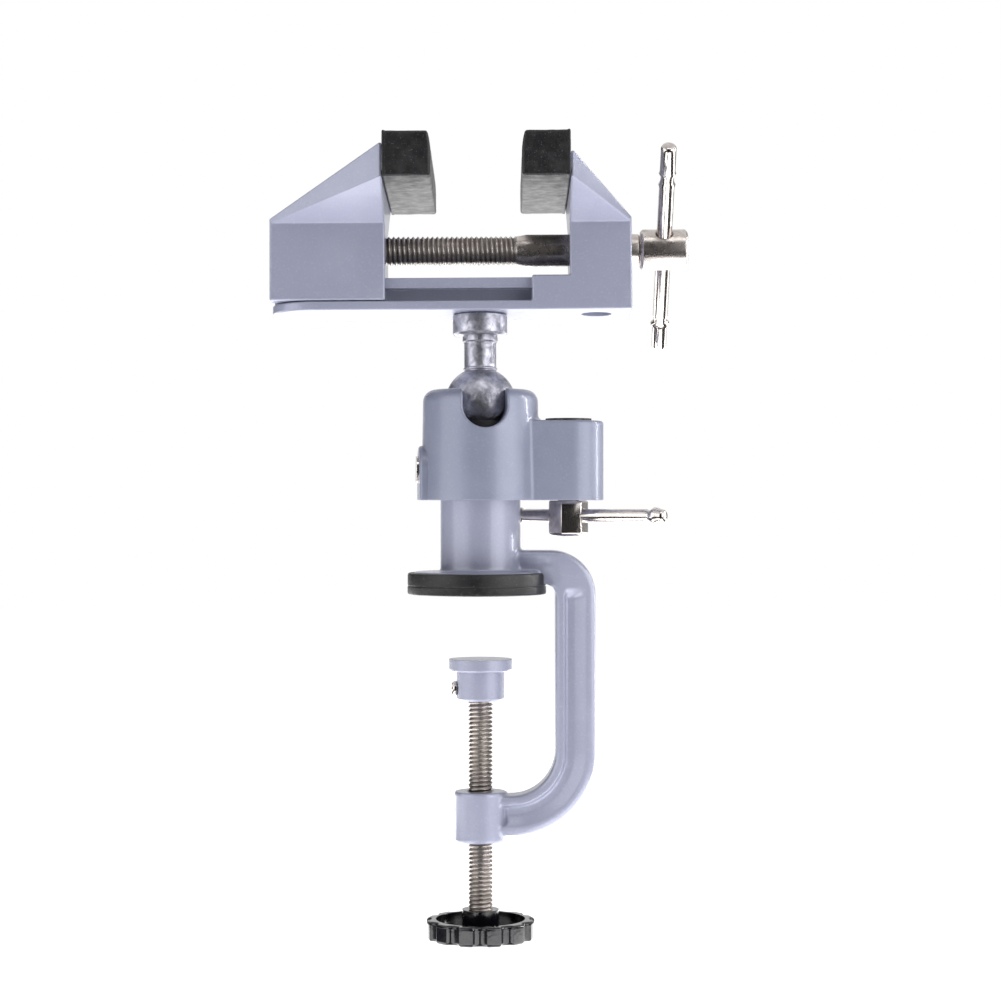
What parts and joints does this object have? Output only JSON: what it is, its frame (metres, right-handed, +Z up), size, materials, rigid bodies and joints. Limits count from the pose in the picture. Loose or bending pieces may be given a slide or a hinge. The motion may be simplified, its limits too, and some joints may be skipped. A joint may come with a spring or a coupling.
{
  "type": "ball vise",
  "caption": "Small bench vise with wide rubber-capped jaws on a ball stud, in a swivelling housing on a C-shaped table clamp with a handwheel.",
  "frame": {"origin": "on the swivel axis, in the underside of the rubber ring that rests on the table", "axes": "+Z up along the swivel axis, +X towards the frame's bar and the tommy bar, -Y the front with the notch of the ball housing"},
  "size_m": [0.1352, 0.0687, 0.2587],
  "materials": {
    "casting_paint": "grey-lavender metallic enamel, satin",
    "black_rubber": "matte moulded rubber",
    "black_plastic": "glossy moulded plastic",
    "black_nylon": "matte nylon",
    "bare_zinc": "burnished bare casting",
    "nickel_plate": "bright nickel plate",
    "plated_thread": "dull plated thread",
    "dark_steel": "dark oxide",
    "brass_pin": "turned brass"
  },
  "bodies": {
    "c_frame": {"c_frame": "casting_paint", "base_ring": "black_rubber"},
    "clamp_pad": {"clamp_pad": "casting_paint", "clamp_pad_screw": "nickel_plate"},
    "clamp_screw": {"clamp_screw": "plated_thread", "handwheel": "black_plastic", "handwheel_insert": "plated_thread"},
    "housing": {"ball_housing": "casting_paint", "neck_set_screw": "nickel_plate", "ball_seat": "black_nylon", "lock_cap": "dark_steel"},
    "lock_screw": {"lock_screw": "nickel_plate"},
    "lock_bar": {"lock_bar": "nickel_plate"},
    "wedge_nut": {"wedge_nut": "dark_steel"},
    "thrust_pin": {"thrust_pin": "brass_pin"},
    "ball_stud": {"ball_stud": "bare_zinc", "stud_screw": "dark_steel"},
    "vise_frame": {"vise_frame": "casting_paint", "screw_keeper": "dark_steel", "fixed_jaw_pad": "black_rubber"},
    "moving_jaw": {"moving_jaw": "casting_paint", "moving_jaw_pad": "black_rubber"},
    "main_screw": {"main_screw": "nickel_plate"},
    "tommy_bar": {"tommy_bar": "nickel_plate"}
  },
  "joints": [
    {"name": "housing_swivel", "type": "hinge", "parent": "c_frame", "child": "housing", "pos_m": [0, 0, 0.0404], "axis": [0, 0, 1], "continuous": true},
    {"name": "ball_tilt", "type": "hinge", "parent": "housing", "child": "ball_stud", "pos_m": [0, 0, 0.0621], "axis": [0.9954, 0.0958, 0], "range_deg": [-32.3, 93.7]},
    {"name": "head_spin", "type": "hinge", "parent": "ball_stud", "child": "vise_frame", "pos_m": [-0.00018, 0.00184, 0.09074], "axis": [-0.0062, 0.0642, 0.9979], "continuous": true},
    {"name": "main_screw_turn", "type": "hinge", "parent": "vise_frame", "child": "main_screw", "pos_m": [0.05199, 0.00321, 0.11212], "axis": [-1, -0.0002, -0.0062], "range_deg": [-3461.57, 6296.22]},
    {"name": "jaw_slide", "type": "slide", "parent": "vise_frame", "child": "moving_jaw", "axis": [1, 0.0002, 0.0062], "range_m": [-0.015, 0.0275]},
    {"name": "tommy_bar_slide", "type": "slide", "parent": "main_screw", "child": "tommy_bar", "axis": [-0.0045, -0.6694, 0.7429], "range_m": [-0.022, 0.022]},
    {"name": "clamp_pad_slide", "type": "slide", "parent": "c_frame", "child": "clamp_pad", "axis": [0, 0, 1], "range_m": [-0.0288, 0.0204]},
    {"name": "clamp_screw_turn", "type": "hinge", "parent": "clamp_pad", "child": "clamp_screw", "pos_m": [0, 0, -0.0345], "axis": [0, 0, 1], "range_deg": [-7407.98, 5264.82]},
    {"name": "lock_screw_turn", "type": "hinge", "parent": "housing", "child": "lock_screw", "pos_m": [0.02867, 0.00276, 0.0304], "axis": [0, 0, 1], "range_deg": [-107, 2]},
    {"name": "wedge_nut_slide", "type": "slide", "parent": "housing", "child": "wedge_nut", "axis": [0, 0, -1], "range_m": [-0.0003646, 0]},
    {"name": "thrust_pin_slide", "type": "slide", "parent": "housing", "child": "thrust_pin", "axis": [-0.9954, -0.0958, 0], "range_m": [-0.00012, 0]},
    {"name": "lock_bar_slide", "type": "slide", "parent": "lock_screw", "child": "lock_bar", "axis": [0.8339, -0.5519, 0], "range_m": [-0.024, 0.0105]}
  ],
  "couplings": [
    {"joint": "main_screw_turn", "follows": "jaw_slide", "rad_per_m": 3957.9},
    {"joint": "clamp_screw_turn", "follows": "clamp_pad_slide", "rad_per_m": 4453},
    {"joint": "lock_screw_turn", "follows": "wedge_nut_slide", "rad_per_m": 5026.5},
    {"joint": "thrust_pin_slide", "follows": "wedge_nut_slide", "ratio": 0.26795}
  ]
}
